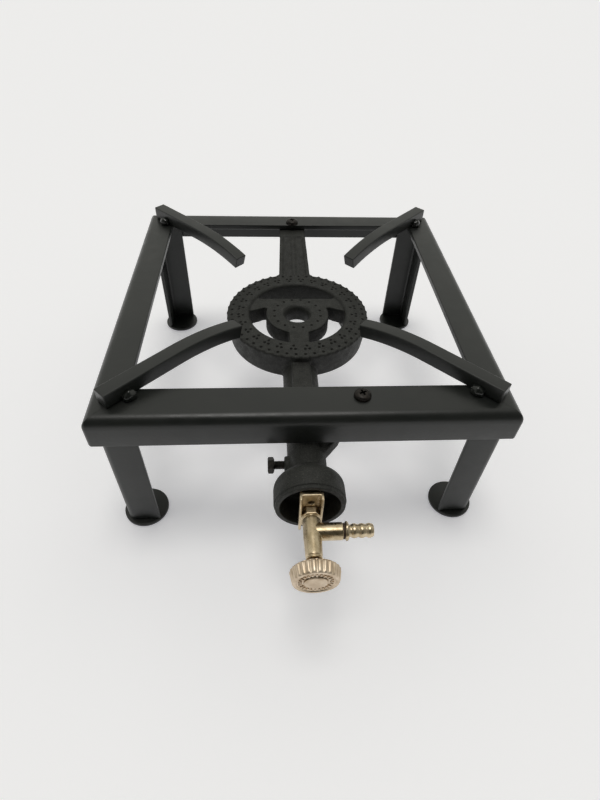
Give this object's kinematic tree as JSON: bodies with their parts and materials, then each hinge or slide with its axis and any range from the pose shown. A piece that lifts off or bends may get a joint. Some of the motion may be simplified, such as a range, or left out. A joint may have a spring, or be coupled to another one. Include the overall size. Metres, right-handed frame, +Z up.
{
  "type": "propane burner stand",
  "caption": "Square angle-iron stand on legs holding a cast ring gas burner under bent pot supports, with a needle valve, air bell and hose tail.",
  "frame": {"origin": "on the floor, at the middle of the whole object's bounding box", "axes": "+Z up, the valve and its knob point to -Y, the hose tail points to +X"},
  "size_m": [0.29, 0.3818, 0.1373],
  "materials": {
    "front_rail_black_paint": "satin black oven paint over welded steel",
    "right_rail_black_paint": "satin black oven paint over welded steel",
    "back_rail_black_paint": "satin black oven paint over welded steel",
    "left_rail_black_paint": "satin black oven paint over welded steel",
    "front_left_leg_black_paint": "satin black oven paint over welded steel",
    "front_left_foot_black_paint": "satin black oven paint over welded steel",
    "front_left_pot_support_black_paint": "satin black oven paint over welded steel",
    "front_right_leg_black_paint": "satin black oven paint over welded steel",
    "front_right_foot_black_paint": "satin black oven paint over welded steel",
    "front_right_pot_support_black_paint": "satin black oven paint over welded steel",
    "back_right_leg_black_paint": "satin black oven paint over welded steel",
    "back_right_foot_black_paint": "satin black oven paint over welded steel",
    "back_right_pot_support_black_paint": "satin black oven paint over welded steel",
    "back_left_leg_black_paint": "satin black oven paint over welded steel",
    "back_left_foot_black_paint": "satin black oven paint over welded steel",
    "back_left_pot_support_black_paint": "satin black oven paint over welded steel",
    "burner_casting_cast_iron": "rough sand-cast surface, matt black",
    "front_screw_dark_steel": "dark chemically blackened steel",
    "front_washer_dark_steel": "dark chemically blackened steel",
    "front_nut_dark_steel": "dark chemically blackened steel",
    "rear_screw_dark_steel": "dark chemically blackened steel",
    "rear_washer_dark_steel": "dark chemically blackened steel",
    "rear_nut_dark_steel": "dark chemically blackened steel",
    "clamp_bolt_dark_steel": "dark chemically blackened steel",
    "valve_yoke_brass": "pale machined brass",
    "gas_jet_brass": "pale machined brass",
    "valve_body_brass": "pale machined brass",
    "hose_tail_brass": "pale machined brass",
    "gland_nut_brass": "pale machined brass",
    "needle_spindle_brass": "pale machined brass",
    "knob_nickel_brass": "nickel-washed brass with a pinkish cast",
    "knob_screw_nickel_brass": "nickel-washed brass with a pinkish cast",
    "hose_tail_washer_fibre": "pressed red fibre",
    "stem_o_ring_nitrile": "black nitrile rubber"
  },
  "bodies": {
    "stand": {"front_rail": "front_rail_black_paint", "right_rail": "right_rail_black_paint", "back_rail": "back_rail_black_paint", "left_rail": "left_rail_black_paint", "front_left_leg": "front_left_leg_black_paint", "front_left_foot": "front_left_foot_black_paint", "front_left_pot_support": "front_left_pot_support_black_paint", "front_right_leg": "front_right_leg_black_paint", "front_right_foot": "front_right_foot_black_paint", "front_right_pot_support": "front_right_pot_support_black_paint", "back_right_leg": "back_right_leg_black_paint", "back_right_foot": "back_right_foot_black_paint", "back_right_pot_support": "back_right_pot_support_black_paint", "back_left_leg": "back_left_leg_black_paint", "back_left_foot": "back_left_foot_black_paint", "back_left_pot_support": "back_left_pot_support_black_paint", "burner_casting": "burner_casting_cast_iron", "front_screw": "front_screw_dark_steel", "front_washer": "front_washer_dark_steel", "front_nut": "front_nut_dark_steel", "rear_screw": "rear_screw_dark_steel", "rear_washer": "rear_washer_dark_steel", "rear_nut": "rear_nut_dark_steel"},
    "valve": {"valve_yoke": "valve_yoke_brass", "gas_jet": "gas_jet_brass", "valve_body": "valve_body_brass", "gland_nut": "gland_nut_brass", "hose_tail": "hose_tail_brass", "hose_tail_washer": "hose_tail_washer_fibre"},
    "needle_thread": {"stem_o_ring": "stem_o_ring_nitrile"},
    "handwheel": {"needle_spindle": "needle_spindle_brass", "knob": "knob_nickel_brass", "knob_screw": "knob_screw_nickel_brass"},
    "clamp": {"clamp_bolt": "clamp_bolt_dark_steel"}
  },
  "joints": [
    {"name": "valve_slide", "type": "slide", "parent": "stand", "child": "valve", "axis": [0, -1, 0], "range_m": [-0.002, 0.004]},
    {"name": "needle_lift", "type": "slide", "parent": "valve", "child": "needle_thread", "axis": [0, -1, 0], "range_m": [0, 0.0016]},
    {"name": "knob_turn", "type": "hinge", "parent": "needle_thread", "child": "handwheel", "pos_m": [0, -0.1811, 0.087], "axis": [0, -1, 0], "range_deg": [0, 720]},
    {"name": "clamp_turn", "type": "hinge", "parent": "stand", "child": "clamp", "pos_m": [-0.0228, -0.1056, 0.087], "axis": [-1, 0, 0], "range_deg": [0, 360]}
  ],
  "couplings": [
    {"joint": "needle_lift", "follows": "knob_turn", "m_per_rad": 0.00012732}
  ]
}
